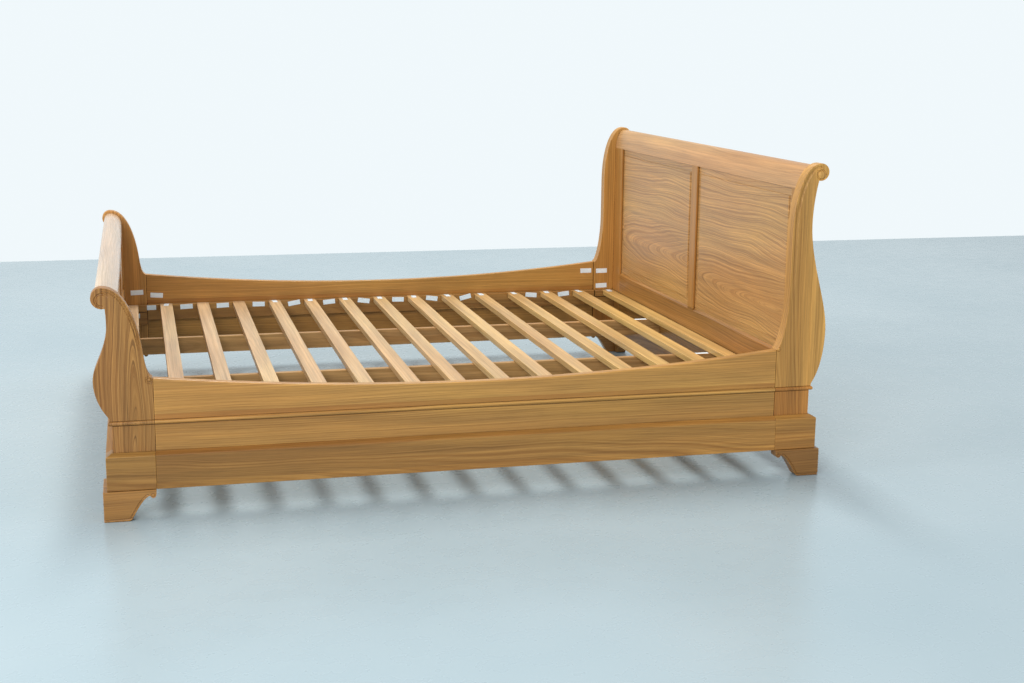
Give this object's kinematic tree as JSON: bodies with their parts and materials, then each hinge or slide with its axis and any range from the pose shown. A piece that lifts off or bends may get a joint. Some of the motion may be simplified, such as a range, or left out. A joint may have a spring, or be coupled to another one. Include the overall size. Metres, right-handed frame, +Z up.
{
  "type": "sleigh bed",
  "caption": "Wooden sleigh bed with scrolled posts, panelled headboard and footboard, dipped side rails on a plinth, bracket feet and loose slats.",
  "frame": {"origin": "on the floor under the middle of the bed", "axes": "+X from the footboard to the headboard, +Y across the bed to the right-hand side as seen by someone sitting in it and facing the foot, +Z up"},
  "size_m": [2.155, 1.932, 0.957],
  "materials": {
    "post": "satin",
    "rail": "satin",
    "plinth": "satin",
    "foot": "satin",
    "panel": "satin",
    "frame": "satin",
    "slat": "matte",
    "beam": "matte",
    "steel": "brushed",
    "sticker": "matte"
  },
  "bodies": {
    "frame": {"foot_bottom_rail": "frame", "foot_left_foot": "foot", "foot_left_panel": "panel", "foot_left_plinth_block": "plinth", "foot_left_post": "post", "foot_left_rail_hook": "steel", "foot_left_slat_block": "rail", "foot_left_stile": "frame", "foot_muntin": "frame", "foot_plinth": "plinth", "foot_right_foot": "foot", "foot_right_panel": "panel", "foot_right_plinth_block": "plinth", "foot_right_post": "post", "foot_right_rail_hook": "steel", "foot_right_slat_block": "rail", "foot_right_stile": "frame", "foot_top_rail": "frame", "head_bottom_rail": "frame", "head_left_foot": "foot", "head_left_panel": "panel", "head_left_plinth_block": "plinth", "head_left_post": "post", "head_left_rail_hook": "steel", "head_left_slat_block": "rail", "head_left_stile": "frame", "head_muntin": "frame", "head_plinth": "plinth", "head_right_foot": "foot", "head_right_panel": "panel", "head_right_plinth_block": "plinth", "head_right_post": "post", "head_right_rail_hook": "steel", "head_right_slat_block": "rail", "head_right_stile": "frame", "head_top_rail": "frame", "left_beam": "beam", "left_side_plinth": "plinth", "left_side_rail": "rail", "left_slat_ledger": "rail", "right_beam": "beam", "right_side_plinth": "plinth", "right_side_rail": "rail", "right_slat_ledger": "rail"},
    "slat_01": {"slat_01": "slat"},
    "slat_02": {"slat_02": "slat"},
    "slat_03": {"slat_03": "slat"},
    "slat_04": {"slat_04": "slat"},
    "slat_05": {"slat_05": "slat"},
    "slat_06": {"slat_06": "slat"},
    "slat_07": {"slat_07": "slat"},
    "slat_08": {"slat_08": "slat"},
    "slat_09": {"slat_09": "slat"},
    "slat_10": {"slat_10": "slat"},
    "slat_11": {"slat_11": "slat"},
    "slat_12": {"slat_12": "slat"},
    "slat_13": {"slat_13": "slat"},
    "slat_14": {"slat_14": "slat"},
    "slat_15": {"slat_15": "slat"}
  },
  "joints": [
    {"name": "slat_01_lift", "type": "slide", "parent": "frame", "child": "slat_01", "axis": [0, 0, 1], "range_m": [0, 0.16]},
    {"name": "slat_02_lift", "type": "slide", "parent": "frame", "child": "slat_02", "axis": [0, 0, 1], "range_m": [0, 0.16]},
    {"name": "slat_03_lift", "type": "slide", "parent": "frame", "child": "slat_03", "axis": [0, 0, 1], "range_m": [0, 0.16]},
    {"name": "slat_04_lift", "type": "slide", "parent": "frame", "child": "slat_04", "axis": [0, 0, 1], "range_m": [0, 0.16]},
    {"name": "slat_05_lift", "type": "slide", "parent": "frame", "child": "slat_05", "axis": [0, 0, 1], "range_m": [0, 0.16]},
    {"name": "slat_06_lift", "type": "slide", "parent": "frame", "child": "slat_06", "axis": [0, 0, 1], "range_m": [0, 0.16]},
    {"name": "slat_07_lift", "type": "slide", "parent": "frame", "child": "slat_07", "axis": [0, 0, 1], "range_m": [0, 0.16]},
    {"name": "slat_08_lift", "type": "slide", "parent": "frame", "child": "slat_08", "axis": [0, 0, 1], "range_m": [0, 0.16]},
    {"name": "slat_09_lift", "type": "slide", "parent": "frame", "child": "slat_09", "axis": [0, 0, 1], "range_m": [0, 0.16]},
    {"name": "slat_10_lift", "type": "slide", "parent": "frame", "child": "slat_10", "axis": [0, 0, 1], "range_m": [0, 0.16]},
    {"name": "slat_11_lift", "type": "slide", "parent": "frame", "child": "slat_11", "axis": [0, 0, 1], "range_m": [0, 0.16]},
    {"name": "slat_12_lift", "type": "slide", "parent": "frame", "child": "slat_12", "axis": [0, 0, 1], "range_m": [0, 0.16]},
    {"name": "slat_13_lift", "type": "slide", "parent": "frame", "child": "slat_13", "axis": [0, 0, 1], "range_m": [0, 0.16]},
    {"name": "slat_14_lift", "type": "slide", "parent": "frame", "child": "slat_14", "axis": [0, 0, 1], "range_m": [0, 0.16]},
    {"name": "slat_15_lift", "type": "slide", "parent": "frame", "child": "slat_15", "axis": [0, 0, 1], "range_m": [0, 0.16]}
  ]
}
